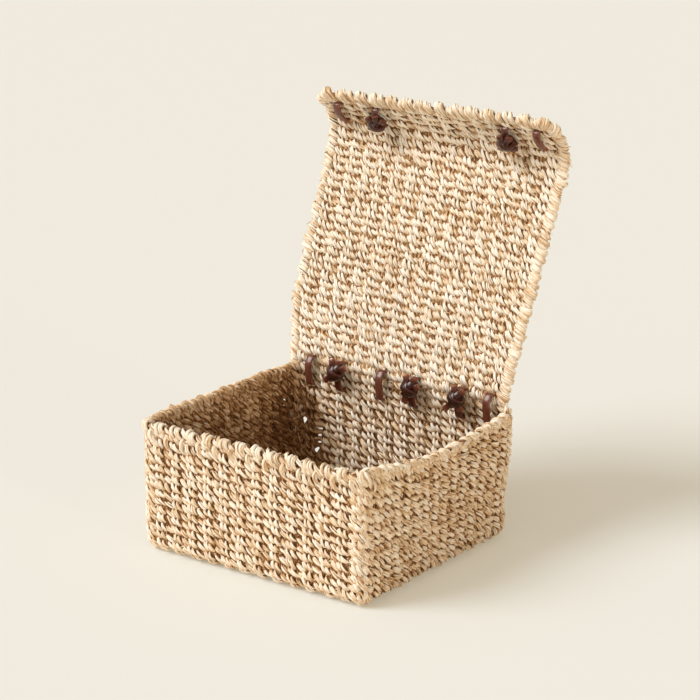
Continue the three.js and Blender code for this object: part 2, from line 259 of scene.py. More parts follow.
class Strands:
    """Closed tubes that become one mesh, each with its own cell of the bake map.

    Tubes that are alike are added together.
    """

    def __init__(self):
        self.batches = []

    def add(self, points, normals, size, tone, section):
        """Tubes along points. Size scales the section across and out. Size and tone may vary along them."""
        points = np.asarray(points, float)
        points = points if points.ndim == 3 else points[None]
        total, count, sides = *points.shape[:2], len(section)
        tangent = unit(np.gradient(points, axis=1))
        across = unit(np.cross(tangent, np.broadcast_to(normals, points.shape)))
        up = np.cross(across, tangent)
        size = np.asarray(size, float)
        if size.ndim < 2 or size.shape[-1] != 2:
            size = np.broadcast_to(size, (total, count))[..., None]
        size = np.broadcast_to(size, (total, count, 2))
        offset = section * size[:, :, None]
        co = points[:, :, None] + offset[..., :1] * across[:, :, None] + offset[..., 1:] * up[:, :, None]
        steps = np.linalg.norm(np.diff(points, axis=1), axis=2)
        run = np.concatenate([np.zeros((total, 1)), np.cumsum(steps, axis=1)], axis=1)[..., None]
        c, s = np.cos(run * TWIST), np.sin(run * TWIST)
        fibre = np.empty((total, count, sides, 3))
        fibre[..., 0] = run + rng.uniform(0, GRAIN, (total, 1, 1))
        fibre[..., 1] = offset[..., 0] * c - offset[..., 1] * s
        fibre[..., 2] = offset[..., 0] * s + offset[..., 1] * c
        tone = np.broadcast_to(tone, (total, count, sides))
        self.batches.append((co, fibre, tone, run[:, -1].mean(), size.mean() * 2 * math.pi))

    def build(self, name, material):
        shapes, fibres, tones, lengths, girths = zip(*self.batches)
        share = [len(shape) for shape in shapes]
        length, girth = np.average(lengths, weights=share), np.average(girths, weights=share)
        columns = max(1, round(math.sqrt(sum(share) * CELL_SHAPE * girth / length)))
        rows = math.ceil(sum(share) / columns)
        loops, starts, uvs, smooths = [], [], [], []
        base = corner = first = 0
        for total, count, sides in (shape.shape[:3] for shape in shapes):
            i, j = (a.ravel() for a in np.meshgrid(np.arange(count - 1), np.arange(sides), indexing="ij"))
            here, ahead, after = i * sides, (i + 1) * sides, (j + 1) % sides
            quads = np.stack([here + j, here + after, ahead + after, ahead + j], axis=1)
            caps = np.stack([np.arange(sides)[::-1], (count - 1) * sides + np.arange(sides)])
            one = np.concatenate([quads.ravel(), caps.ravel()])
            each = np.arange(total)[:, None]
            loops.append((base + each * count * sides + one).ravel())
            begin = np.concatenate([np.arange(len(quads)) * 4, len(quads) * 4 + np.arange(2) * sides])
            starts.append((corner + each * len(one) + begin).ravel())
            smooths.append(np.tile(np.concatenate([np.ones(len(quads), bool), np.zeros(2, bool)]), total))
            u = np.stack([i, i, i + 1, i + 1], axis=1) / (count - 1)
            u = np.concatenate([u.ravel(), np.repeat([0.0, 1.0], sides)])
            v = np.stack([j, j + 1, j + 1, j], axis=1) / sides
            v = np.concatenate([v.ravel(), np.tile(np.arange(sides) / sides, 2)])
            cell = first + each
            u = (cell % columns + MARGIN_U + (1 - 2 * MARGIN_U) * u) / columns
            v = (cell // columns + MARGIN_V + (1 - 2 * MARGIN_V) * v) / rows
            uvs.append(np.stack([u, v], axis=-1).reshape(-1, 2))
            base += total * count * sides
            corner += total * len(one)
            first += total
        mesh = bpy.data.meshes.new(name)
        co = np.concatenate([shape.reshape(-1, 3) for shape in shapes]) * 0.001
        loops, starts = np.concatenate(loops), np.concatenate(starts)
        mesh.vertices.add(len(co))
        mesh.vertices.foreach_set("co", co.astype(np.float32).ravel())
        mesh.loops.add(len(loops))
        mesh.loops.foreach_set("vertex_index", loops.astype(np.int32))
        mesh.polygons.add(len(starts))
        mesh.polygons.foreach_set("loop_start", starts.astype(np.int32))
        mesh.update(calc_edges=True)
        mesh.polygons.foreach_set("use_smooth", np.concatenate(smooths))
        uvs = np.concatenate(uvs).astype(np.float32)
        mesh.uv_layers.new(name="OFBake").data.foreach_set("uv", uvs.ravel())
        tones = np.concatenate([tone.ravel() for tone in tones]).astype(np.float32)
        mesh.attributes.new("tone", "FLOAT", "POINT").data.foreach_set("value", tones)
        fibres = np.concatenate([fibre.reshape(-1, 3) for fibre in fibres]).astype(np.float32)
        mesh.attributes.new("fibre", "FLOAT_VECTOR", "POINT").data.foreach_set("vector", fibres.ravel())
        mesh.validate()
        mesh.materials.append(material)
        obj = bpy.data.objects.new(name, mesh)
        bpy.context.scene.collection.objects.link(obj)
        return obj


# Materials
def nodes_of(name):
    material = bpy.data.materials.new(name)
    material.use_nodes = True
    tree = material.node_tree
    return material, tree, tree.nodes["Principled BSDF"]


def node(tree, kind, **values):
    made = tree.nodes.new(kind)
    for key, value in values.items():
        if key in made.inputs:
            made.inputs[key].default_value = value
        else:
            setattr(made, key, value)
    return made


def attribute(tree, name):
    return node(tree, "ShaderNodeAttribute", attribute_name=name)


def maths(tree, operation, a, b):
    made = node(tree, "ShaderNodeMath", operation=operation)
    for socket, value in zip(made.inputs, (a, b)):
        if isinstance(value, (int, float)):
            socket.default_value = value
        else:
            tree.links.new(value, socket)
    return made.outputs[0]


def ramp(tree, factor, stops):
    made = node(tree, "ShaderNodeValToRGB")
    elements = made.color_ramp.elements
    while len(elements) < len(stops):
        elements.new(0.5)
    for element, (place, colour) in zip(elements, stops):
        element.position = place
        element.color = (*colour, 1)
    tree.links.new(factor, made.inputs["Fac"])
    return made.outputs["Color"]


def streaks(tree, stretch, scale, detail):
    """Noise drawn out along the fibres of a strand."""
    mapping = node(tree, "ShaderNodeMapping", Scale=(stretch, 1, 1))
    tree.links.new(attribute(tree, "fibre").outputs["Vector"], mapping.inputs["Vector"])
    noise = node(tree, "ShaderNodeTexNoise", Scale=scale, Detail=detail, Roughness=0.6)
    tree.links.new(mapping.outputs["Vector"], noise.inputs["Vector"])
    return noise.outputs["Fac"]


def varied(tree, tone, *noises):
    """Tone moved up and down by each noise, times its amount."""
    for noise, amount in noises:
        change = maths(tree, "MULTIPLY", maths(tree, "SUBTRACT", noise, 0.5), amount)
        tone = maths(tree, "ADD", tone, change)
    return tone


def raised(tree, shader, height, strength, distance):
    """Bump on the shader's normal."""
    bump = node(tree, "ShaderNodeBump", Strength=strength, Distance=distance)
    tree.links.new(height, bump.inputs["Height"])
    tree.links.new(bump.outputs["Normal"], shader.inputs["Normal"])


def straw(name, shift):
    material, tree, shader = nodes_of(name)
    fine = streaks(tree, 0.05, 2.6, 4.0)
    coarse = streaks(tree, 0.08, 1.0, 2.0)
    broad = streaks(tree, 0.3, 0.5, 2.0)
    tone = maths(tree, "ADD", attribute(tree, "tone").outputs["Fac"], shift)
    colour = ramp(tree, varied(tree, tone, (fine, 2.2), (coarse, 1.5), (broad, 0.6)), [
        (0.0, (0.13, 0.048, 0.012)),
        (0.25, (0.42, 0.215, 0.075)),
        (0.5, (0.70, 0.465, 0.255)),
        (0.75, (0.89, 0.73, 0.525)),
        (1.0, (0.98, 0.925, 0.83)),
    ])
    tree.links.new(colour, shader.inputs["Base Color"])
    shader.inputs["Roughness"].default_value = 0.72
    shader.inputs["Specular IOR Level"].default_value = 0.35
    raised(tree, shader, fine, 0.7, 0.0004)
    return material


def leather(name):
    material, tree, shader = nodes_of(name)
    grain = streaks(tree, 1.0, 1.6, 5.0)
    patches = streaks(tree, 0.5, 0.3, 2.0)
    tone = attribute(tree, "tone").outputs["Fac"]
    colour = ramp(tree, varied(tree, tone, (patches, 0.35), (grain, 0.25)), [
        (0.0, (0.030, 0.008, 0.005)),
        (0.3, (0.100, 0.029, 0.018)),
        (0.6, (0.19, 0.062, 0.037)),
        (1.0, (0.40, 0.105, 0.035)),
    ])
    tree.links.new(colour, shader.inputs["Base Color"])
    rough = ramp(tree, grain, [(0.3, (0.12, 0.12, 0.12)), (0.75, (0.3, 0.3, 0.3))])
    tree.links.new(rough, shader.inputs["Roughness"])
    shader.inputs["Specular IOR Level"].default_value = 0.5
    raised(tree, shader, grain, 0.35, 0.0003)
    return material


MATERIALS = {
    "straw_weave": straw("straw_weave", 0.0),
    "straw_border": straw("straw_border", 0.04),
    "brown_leather": leather("brown_leather"),
}


def place(strands, name, slot, body, *nodes):
    obj = strands.build(name, MATERIALS[slot])
    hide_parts(*nodes)
    if body:
        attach(obj, body)
    return obj


# Weaving. Each face is laid stitch by stitch over a core of stakes: a stitch is a short strand that comes out
# of the core, crosses a rib or the valley beside it, and goes back in. They vary by standard deviations.
# Of a strand: its width, then the width, place, skew, height, slip and tone of each of its plies
WHOLE_WIDTH = 0.08
PLY_WIDTH, PLY_PLACE, PLY_SKEW, PLY_RISE, PLY_SLIP, PLY_TONE = 0.12, 0.06, 0.1, 0.2, 0.55, 0.08
# Of a weave: the tone of a row, and the height of a rib as a share of a row
ROW_TONE, RIB_SHIFT = 0.03, 0.08
# Of the stitches of one crossing together: their place across and along, and their turn
SWAY, LIFT, TILT = 0.35, 0.2, 0.08
# Of each stitch: its turn, its size, its place across, along and out, and its tone
TURN, SIZE, SLIDE, HOP, RAISE, STITCH_TONE = 0.1, 0.09, 0.25, 0.22, 0.22, 0.08
# Of the stakes in the core: their height and tone
STAKE_RISE, STAKE_TONE = 0.12, 0.04

RINGS = 6
STITCH = ((-0.66, -0.2), (-0.42, 0.62), (0, 1), (0.42, 0.62), (0.66, -0.2))  # along it and out, as shares
UNDER_SHADE = 0.3  # painted shade: how much darker a stitch is where it leaves the core and goes in under other strands
STAKE, STAKE_SHADE = (1.75, 0.8), 0.05  # half sizes and tone of a stake in the core; the dark tone is painted shade where the core shows between stitches

# Painted shadow of the left wall inside the back left corner: the fibre's tone goes down by a share
# CORNER_SHADOW, over the depths
# CORNER_SHADOW_Y and left of an edge at CORNER_SHADOW_X, which slopes to the left by CORNER_SHADOW_SLOPE
# between the heights CORNER_SHADOW_Z.
CORNER_SHADOW, CORNER_SHADOW_X, CORNER_SHADOW_SLOPE, CORNER_SHADOW_SOFT, CORNER_SHADOW_Y, CORNER_SHADOW_Z = 0.62, -55, 21, 3, (25, 66), (48, 80)


def bundle(strands, points, normals, wide, thick, tone, plies, loose=1.0):
    """Plies side by side, askew by a share loose. Wide and thick are half sizes of the whole."""
    points = np.asarray(points, float)
    points = points if points.ndim == 3 else points[None]
    total, count = points.shape[:2]
    normals = np.broadcast_to(normals, points.shape)
    tangent = unit(np.gradient(points, axis=1))
    across = unit(np.cross(tangent, normals))
    up = np.cross(across, tangent)
    along = np.linspace(-1, 1, count)
    arch = np.cos(along * math.pi / 2)

    def spread(amount):
        return rng.normal(0, amount, (total, 1))

    # The plies close up and thin out towards the ends, and the outer ones lie lower
    whole = wide * np.exp(spread(WHOLE_WIDTH))
    full = (0.85 + 0.13 * plies) / plies * (1.25 - 0.25 * loose)
    for k in np.arange(plies) - (plies - 1) / 2:
        edge = 2 * k / max(plies - 1, 1)
        askew = spread(PLY_PLACE) + spread(PLY_SKEW) * along
        shift = whole * (k * 1.8 / plies * (0.7 + 0.3 * arch) + loose * askew)
        rise = spread(PLY_RISE * loose) - 0.35 * thick * edge**2 + 0.2 * thick + 0 * along
        radius = whole * np.exp(spread(PLY_WIDTH)) * full * (0.4 + 0.6 * arch**0.6)
        slip = spread(PLY_SLIP * loose)
        moved = points + slip[..., None] * tangent + shift[..., None] * across + rise[..., None] * up
        size = np.stack([radius, np.minimum(radius, 0.85 * thick)], axis=-1)
        strands.add(moved, normals, size, tone + spread(PLY_TONE)[..., None], FIVE)


def slant(x, v, angle, length, out, wide, thick, tone, plies):
    """A stitch that slopes down to the right: its path, half width, half thickness, tone and plies."""
    c, s = math.cos(math.radians(angle)), math.sin(math.radians(angle))
    return [(x + t * length * c, v - t * length * s, n * out) for t, n in STITCH], wide, thick, tone, plies


# Faces. Each gives the stitches of one crossing, for a pitch p between stakes and a row of height h. Low
# stitches get lower tones than high ones: painted shade of the valleys they lie in.
def ribbed(p, h):
    """Front and lid outside, back inside: two steep stitches on a rib, and a low plump one beside it."""
    yield slant(-1.6, 0.05 * h, 52, 5.3, 2.3, 1.2, 1.1, 0.95, 2)
    yield slant(1.3, -0.05 * h, 49, 5.3, 2.1, 1.2, 1.1, 0.90, 2)
    yield slant(0.5 * p + 0.4, -0.2 * h, 32, 6.6, 1.2, 1.5, 1.2, 0.80, 3)


def slanted(p, h):
    """Front inside, back outside: plump stitches like the strands of a rope, every other one low."""
    yield slant(0, 0.03 * h, 31, 7.2, 2.0, 1.7, 1.2, 0.93, 3)
    yield slant(0.5 * p, -0.1 * h, 34, 6.8, 1.2, 1.65, 1.15, 0.82, 3)


def twined(p, h):
    """Inside of the lid: a finer grain, with two steep stitches on each rib and two low ones beside it."""
    yield slant(-1.5, 0.06 * h, 55, 6.0, 2.3, 1.15, 1.05, 0.97, 2)
    yield slant(1.4, -0.06 * h, 50, 6.0, 2.1, 1.15, 1.05, 0.93, 2)
    yield slant(0.5 * p - 1.3, -0.16 * h, 36, 5.4, 1.1, 1.15, 1.05, 0.76, 2)
    yield slant(0.5 * p + 1.5, -0.1 * h, 40, 5.2, 1.0, 1.15, 1.05, 0.71, 2)


def turned(p, h):
    """Round a corner of the box: one pair more in each gap, which is wider on the outside."""
    yield slant(-1.2, 0.12 * h, 62, 5.6, 1.9, 1.3, 1.1, 0.86, 2)
    yield slant(1.3, -0.42 * h, 58, 5.6, 1.6, 1.25, 1.1, 0.78, 2)


def close(p, h, high=0.86, low=0.68):
    """Side walls and floor: short stitches, every other one low."""
    yield slant(0, 0, 37, 6.4, 2.0, 1.5, 1.15, high, 3)
    yield slant(0.5 * p, 0.06 * h, 38, 5.9, 1.05, 1.35, 1.05, low, 2)


def close_shaded_inside(p, h):
    """The same inside the box, with darker tones: painted shade of the box's inside."""
    return close(p, h, 0.5, 0.36)


# Side (1 outside, -1 inside), stitches, and how much paler they are. The lid's inside is paler: painted
# light, for the strong light it catches and the little shade in its gaps.
STRIP_FACES = ((1, ribbed, 0), (-1, slanted, 0))
BACK_FACES = ((1, slanted, 0), (-1, ribbed, 0))
SIDE_FACES = ((1, close, 0), (-1, close_shaded_inside, 0))
LID_FACES = ((1, ribbed, 0), (-1, twined, 0.12))
CORNER_FACES = ((1, turned, 0),)


def corner_shadow(points):
    """Mask of a painted shadow: 1 in the back left corner of the box, where the left wall's shadow falls, and
    0 away from it.
    """
    x, y, z = np.moveaxis(points, -1, 0)
    end = CORNER_SHADOW_X - CORNER_SHADOW_SLOPE * smooth(z, *CORNER_SHADOW_Z)
    return (1 - smooth(x, end - CORNER_SHADOW_SOFT, end + CORNER_SHADOW_SOFT)) * smooth(y, *CORNER_SHADOW_Y) * (z < HEIGHT)


def weave(strands, surface, pitch, ribs, rows, height, faces):
    """Stitches on every rib of every row. Inside, right and left change places."""
    q, v = (a.reshape(-1, 1) for a in np.meshgrid(np.asarray(ribs, float), np.asarray(rows, float)))
    shade = np.repeat(rng.normal(0, ROW_TONE, len(rows)), len(ribs))[:, None]
    p = float(np.median(pitch(q)))
    v = v + np.tile(rng.normal(0, RIB_SHIFT * height, len(ribs)), len(rows))[:, None]

    def spread(amount):
        return rng.normal(0, amount, q.shape)

    for side, face, paler in faces:
        sway, lift, tilt = spread(SWAY), spread(LIFT), spread(TILT)
        for path, wide, thick, tone, plies in face(p, height):
            line, middle = curve(path, RINGS), path[len(path) // 2]
            dx, dv = line[:, 0] - middle[0], line[:, 1] - middle[1]
            turn, scale = tilt + spread(TURN), 1 + spread(SIZE)
            x = middle[0] + (dx * np.cos(turn) - dv * np.sin(turn)) * scale + sway + spread(SLIDE)
            up = middle[1] + (dx * np.sin(turn) + dv * np.cos(turn)) * scale + lift + spread(HOP)
            points, normals = surface(q + side * x / p, v + up, side * (line[:, 2] + spread(RAISE)))
            tones = tone + paler + shade + spread(STITCH_TONE)
            # Inside, the back left corner is darkened by a painted shadow of the left wall
            if side < 0:
                tones = tones * (1 - CORNER_SHADOW * corner_shadow(points))
            # Darker where the stitch goes into the core: painted shade
            tones = tones - UNDER_SHADE * (1 - np.clip(line[:, 2] / middle[2], 0, 1))
            bundle(strands, points, side * normals, wide, thick, tones[..., None], plies)


def core(strands, surface, start, end, step, low, high, count, tone=STAKE_SHADE):
    """Flat stakes side by side, hidden behind the stitches, each with count points from low to high. Their
    dark tone is painted shade where they show between the stitches.
    """
    q = np.arange(start, end + step / 2, step)[:, None]
    v = np.linspace(low, high, count)
    n = rng.normal(0, STAKE_RISE, (len(q), count))
    points, normals = surface(np.broadcast_to(q, (len(q), count)), v, n)
    tones = tone + rng.normal(0, STAKE_TONE, (len(q), 1, 1))
    strands.add(points, normals, np.tile(STAKE, (count, 1)), tones, FIVE)


# Walls. The front and back wrap the corners, and the side walls are set in between them.
WALLS = {}
first = 0
for label, side in zip(("front", "right", "back", "left"), SIDES):
    WALLS[label] = (first, first + side[3])
    first += side[3] + 1
WRAPPED, SET_IN = 0.95, 0.1  # how far the core goes past a wall's first and last stake
CLOSE_STEP, SIDE_STEP = 1 / 4, 1 / 3  # between the stakes of a core, in pitches
CORE_START, CORE_BELOW_RIM = 1.0, 3.5
# Points along a stake: in a wall or the lip, in a wall where it bends round the gaps, in the back rim or the
# lid's back edge, in the floor, and in the lid
CORE_POINTS, BENT_POINTS, SHORT_POINTS, FLOOR_POINTS, LID_POINTS = 14, 40, 4, 8, 16
EDGE_STAKE, LID_STAKE, LIP_STAKE = 0.3, 0.22, 0.18  # tones of paler stakes, still dark as painted shade where the core shows


def wall(label, rows, faces, wraps, step, count):
    strands = Strands()
    low, high = WALLS[label]
    height = (RIM_TOP - RIM_ROOM) / rows
    levels = (np.arange(rows) + 0.5) * height
    more = 1 if wraps else 0
    ribs = np.arange(low + 0.5 - more, high + more, 1.0)
    weave(strands, wall_at, wall_pitch, ribs, levels, height, faces)
    if wraps:
        corners = [low - 0.75, low - 0.25, high + 0.25, high + 0.75]
        weave(strands, wall_at, wall_pitch, corners, levels, height, CORNER_FACES)
    past = WRAPPED if wraps else SET_IN
    core(strands, wall_at, low - past, high + past, step, CORE_START, RIM_TOP - CORE_BELOW_RIM, count)
    place(strands, f"{label}_weave", "straw_weave", "box", f"{label}_wall")


wall("front", FRONT_ROWS, STRIP_FACES, True, CLOSE_STEP, CORE_POINTS)
wall("back", FRONT_ROWS, BACK_FACES, True, CLOSE_STEP, BENT_POINTS)
wall("right", SIDE_ROWS, SIDE_FACES, False, SIDE_STEP, CORE_POINTS)
wall("left", SIDE_ROWS, SIDE_FACES, False, SIDE_STEP, BENT_POINTS)

floor = Strands()
floor_rows = ((np.arange(FLOOR_ROWS) + 0.5) / FLOOR_ROWS * 2 - 1) * FLOOR_Y
floor_ribs = np.arange(FLOOR_STAKES) + 0.5
weave(floor, floor_at, floor_pitch, floor_ribs, floor_rows, 2 * FLOOR_Y / FLOOR_ROWS, SIDE_FACES)
core(floor, floor_at, 0, FLOOR_STAKES, CLOSE_STEP, -FLOOR_Y, FLOOR_Y, FLOOR_POINTS)
place(floor, "floor_weave", "straw_weave", "box", "floor_panel")

LOOP_RINGS, LOOP_LOOSE = 18, 0.3


def loop(strands, surface, q, pitch, path, shift, wide, thick, tone, plies):
    """Plies over an edge. Path gives (across in mm, v, n) and shift moves it across."""
    p = curve(path, LOOP_RINGS)
    points = surface(q + (p[:, 0] + shift) / pitch, p[:, 1], p[:, 2])[0]
    centre_v = path[len(path) // 2][1] - 3
    centre = surface(np.full(LOOP_RINGS, q), np.full(LOOP_RINGS, centre_v), np.zeros(LOOP_RINGS))[0]
    bundle(strands, points, unit(points - centre), wide, thick, tone, plies, LOOP_LOOSE)


# Front rim: the stakes come up in pairs, turn over the edge and go back into the weave.
RIM_ROW, RIM_LEAN, RIM_DROP, RIM_THICK = 4.6, 1.1, 0.3, 1.3
RIM_PAIR = ((-1.8, 0.0, 1.4, 0.88), (1.6, -0.4, 1.4, 0.84))  # shift, lift, half width and tone
RIM_LOOP = [  # across as a share of the lean, depth below the top, height out of the weave
    (1.9, 8.2, 0.3), (1.3, 6.6, 2.1), (0.5, 4.3, 2.9), (0, 2.1, 2.4), (-0.35, 1.25, 0.1), (-0.5, 2.4, -2.3),
    (-0.6, 5.0, -2.8), (-0.8, 8.0, -2.2), (-1, 9.4, -0.6),
]
rim = Strands()
low, high = WALLS["front"]
for k in np.arange(low - 0.5, high + 1, 1.0):
    pitch = wall_pitch(np.array([k + 0.01]))[0]
    weave(rim, wall_at, wall_pitch, [k], [RIM_TOP - RIM_ROW], RIM_ROW, STRIP_FACES)
    between = (0.52 * pitch, -6, 1.5, 0.76)
    for shift, up, wide, tone in (*RIM_PAIR, between):
        lean = about(RIM_LEAN, 0.6)
        top = about(RIM_TOP - RIM_DROP + up, 0.35)
        path = [(lean * across, top - depth, n) for across, depth, n in RIM_LOOP]
        loop(rim, wall_at, k, pitch, path, about(shift, 0.4), wide, RIM_THICK, about(tone, 0.06), 2)
place(rim, "front_rim_loops", "straw_border", "box", "front_rim")


# Side rims: a whipped edge whose wraps lie over like a rope.
SIDE_WRAPS, WRAP_POINTS = 18, 9
WRAP_FROM, WRAP_TO = -62, 236  # degrees round the edge
WRAP_DEPTH, WRAP_OUT, WRAP_UP = 3.2, 1.75, 1.5  # its middle below the rim, and its half sizes
WRAP_STRANDS = ((-0.7, 0.5, 1.9, 1.15, 3), (2.5, -0.6, 1.25, 1.0, 2))  # shift, lift, half sizes and plies
SIDE_ROW, SIDE_ROW_DEPTH = 4.2, 4.8


def whipped(label, wraps, tone):
    strands = Strands()
    low, high = WALLS[label]
    weave(strands, wall_at, wall_pitch, np.arange(low + 0.5, high), [RIM_TOP - SIDE_ROW_DEPTH], SIDE_ROW,
          SIDE_FACES)
    for k in range(wraps):
        q = low + (k + 0.5) / wraps * (high - low)
        pitch = wall_pitch(np.array([q]))[0]
        up, lean = rng.normal(0, 0.3), about(1, 0.15)
        for shift, rise, wide, thick, plies in WRAP_STRANDS:
            path = [(2.6 * lean, RIM_TOP - 8.2, 0.6)]
            for a in np.radians(np.linspace(WRAP_FROM, WRAP_TO, WRAP_POINTS)):
                c, s = math.cos(a), math.sin(a)
                across = 1.4 * lean * c if a < math.pi / 2 else -0.8 * (a - math.pi / 2)
                height = RIM_TOP - WRAP_DEPTH + (up + rise) * max(s, 0) + WRAP_UP * s
                path.append((across, height, WRAP_OUT * c))
            path.append((-1.9 * lean, RIM_TOP - 8, -0.6))
            loop(strands, wall_at, q, pitch, path, about(shift, 0.3), wide, thick, about(tone, 0.06), plies)
    return strands


place(whipped("right", SIDE_WRAPS, 0.74), "right_rim_wraps", "straw_border", "box", "right_rim")
# The left rim's wraps have a darker tone than the right's: painted shade
place(whipped("left", SIDE_WRAPS, 0.46), "left_rim_wraps", "straw_border", "box", "left_rim")

BACK_ROW, BACK_ROW_DEPTH, BACK_CORE, BACK_CORE_END = 4.4, 2.7, 5, 0.5  # all but the first below the rim
back = Strands()
low, high = WALLS["back"]
ribs = np.arange(low - 0.5, high + 1, 1.0)
weave(back, wall_at, wall_pitch, ribs, [RIM_TOP - BACK_ROW_DEPTH], BACK_ROW, BACK_FACES)
core(back, wall_at, low - WRAPPED, high + WRAPPED, CLOSE_STEP, RIM_TOP - BACK_CORE, RIM_TOP - BACK_CORE_END,
     SHORT_POINTS, EDGE_STAKE)
place(back, "back_rim_row", "straw_border", "box", "back_rim")

# Lid. Its first row is the back edge, the next ones are flat, and the last ones are bent into the lip.
LID_RIBS = np.arange(LID_STAKES) + 0.5
ROWS = LID_START + (np.arange(LID_ROWS) + 0.5) * LID_ROW
FLAT_ROWS = [v for v in ROWS[1:] if v < LID_FLAT]
BENT_ROWS = [v for v in ROWS[1:] if v >= LID_FLAT]

edge = Strands()
weave(edge, lid_at, lid_pitch, LID_RIBS, ROWS[:1] - 0.6, LID_ROW, LID_FACES)
core(edge, lid_at, 0, LID_STAKES, CLOSE_STEP, LID_START - 0.9, LID_START + 6, SHORT_POINTS, EDGE_STAKE)
place(edge, "lid_back_row", "straw_border", "lid", "lid_back_edge")

inside, outside = Strands(), Strands()
weave(inside, lid_at, lid_pitch, LID_RIBS, FLAT_ROWS, LID_ROW, LID_FACES[1:])
weave(outside, lid_at, lid_pitch, LID_RIBS, FLAT_ROWS, LID_ROW, LID_FACES[:1])
core(inside, lid_at, 0, LID_STAKES, CLOSE_STEP, LID_START + 5, LID_FLAT + 1, LID_POINTS, LID_STAKE)
place(inside, "lid_weave", "straw_weave", "lid", "lid_panel")
place(outside, "lid_outer_weave", "straw_weave", "lid", "lid_panel")

lip = Strands()
weave(lip, lid_at, lid_pitch, LID_RIBS, BENT_ROWS, LID_ROW, LID_FACES)
core(lip, lid_at, 0, LID_STAKES, CLOSE_STEP, LID_FLAT, LIP_END + 2, CORE_POINTS, LIP_STAKE)
place(lip, "lip_weave", "straw_weave", "lid", "lid_lip")

# Side edges of the lid: at the end of each row the weft turns round the edge from one face to the other.
TURN_BACK = curve([  # out from the edge, along it, and out of the middle of the weave
    (-7, 3.2, 0), (-5.2, 2.3, -1.2), (-3, 1.2, -1.65), (-0.8, 0.3, -1.1), (0, 0, 0), (-0.8, -0.3, 1.1),
    (-3, -1.2, 1.65), (-5.2, -2.3, 1.2), (-7, -3.2, 0),
], LOOP_RINGS)
TURN_INSET, TURN_CENTRE = 1.3, 3.4
TURNS = ((0.4, 2.0, 1.25, 0.2, 4), (-2.2, 1.1, 0.95, -0.7, 2))  # shift, half sizes, reach and plies
UNEVEN = {-1: 0.95, 1: 0.55}  # standard deviation of the reach, by side
HAIR_RINGS, HAIR_ENDS = 7, (0.42, 0.14)  # a loose fibre end and its half thickness


def selvage(sign):
    strands = Strands()
    for row in ROWS:
        for shift, wide, thick, jut, plies in TURNS:
            v = about(row + shift, 0.3)
            reach = about(jut, UNEVEN[sign])
            out = TURN_BACK[:, 0] - TURN_INSET + reach * smooth(TURN_BACK[:, 0], -4, 0)
            points = lid_point(lid_edge(sign, v) + sign * out, v + sign * TURN_BACK[:, 1], TURN_BACK[:, 2])[0]
            middle = lid_point(lid_edge(sign, v) - sign * TURN_CENTRE, v, 0)[0]
            bundle(strands, points, unit(points - middle), wide, thick, about(0.8, 0.09), plies)
        for _ in range(rng.integers(0, 2)):
            run, lean, bend = rng.uniform(1.0, 3.0), rng.normal(0, 1.6), rng.normal(0, 0.8)
            p = curve([
                (-3, 0, 0), (-1, 0.1 * lean, 0.2 * bend),
                (0.4 * run, 0.5 * lean, 0.6 * bend), (run, lean, bend),
            ], HAIR_RINGS)
            v = about(row, 1.5) + p[:, 1]
            points, normals = lid_point(lid_edge(sign, v) + sign * (p[:, 0] - 1), v, about(p[:, 2], 1))
            strands.add(points, normals, np.linspace(*HAIR_ENDS, HAIR_RINGS), about(0.75, 0.1), FIVE)
    return strands


place(selvage(-1), "lid_left_loops", "straw_border", "lid", "lid_left_selvage")
place(selvage(1), "lid_right_loops", "straw_border", "lid", "lid_right_selvage")

# Lip border: the stakes turn over the edge in groups, and fan out round the corners.
BORDER_GROUPS, BORDER_OUTER, BORDER_LOOSE = 13, 8.5, 0.9
BORDER_INNER, GROUP_SLOPE, CORNER_SLOPE = 9, 6, 3.5
# Shift, lift and half width of the strands of a group
BORDER_GROUP = ((-2.0, 1.7, 1.7), (1.2, 1.0, 1.6), (4.5, -1.2, 1.4), (7.4, -0.9, 1.4))


def over_edge(strands, x, along, dx, da, inner, slope, wide, thick, tone, up):
    """A strand over the lid's edge at (x, along), where (dx, da) points out of the lid.

    Inner is its length on the inside, slope is how far it slants, and up lifts it at the edge.
    """
    steps = [
        (-inner, -0.2), (-inner * 0.75, -1.5), (-3.6, -1.85), (-1.6 + up, -1.4), (-1.1 + up, 0.1),
        (-1.7 + up, 1.5), (-3.8, 1.85), (-BORDER_OUTER * 0.8, 1.6), (-BORDER_OUTER, 0.2),
    ]
    path = []
    for i, (out, n) in enumerate(steps):
        aside = slope * (i / (len(steps) - 1) - 0.4)
        path.append((x + dx * out - da * aside, along + da * out + dx * aside, n))
    p = curve(path, LOOP_RINGS)
    points = lid_point(p[:, 0], p[:, 1], p[:, 2])[0]
    centre = lid_point(x - dx * 4, along - da * 4, 0)[0]
    bundle(strands, points, unit(points - centre), wide, thick, tone, 3 if wide > 1.2 else 2, BORDER_LOOSE)


border = Strands()
inner_left, inner_right = LIP_CORNER - LID_LEFT, LID_RIGHT - LIP_CORNER
for g in range(BORDER_GROUPS):
    x = about(inner_left - 1 + (g + 0.3) / BORDER_GROUPS * (inner_right - inner_left), 0.8)
    for shift, up, wide in BORDER_GROUP:
        over_edge(border, about(x + shift, 0.5), LID_LENGTH, 0, 1, about(BORDER_INNER, 0.9),
                  about(GROUP_SLOPE, 1.8), about(wide, 0.2), 1.3, about(0.78, 0.09), about(up, 0.5))
for sign, centre_x in ((-1, inner_left), (1, inner_right)):
    for angle in np.radians(np.arange(6, 92, 12)):
        dx, da = sign * math.cos(angle), math.sin(angle)
        x, along = centre_x + dx * LIP_CORNER, LID_LENGTH - LIP_CORNER + da * LIP_CORNER
        over_edge(border, x, along, dx, da, about(BORDER_INNER, 0.7), about(CORNER_SLOPE, 1.0),
                  about(1.75, 0.25), 1.25, about(0.74, 0.09), about(0.1, 0.6))
place(border, "lip_border_loops", "straw_border", "lid", "lid_front_border")


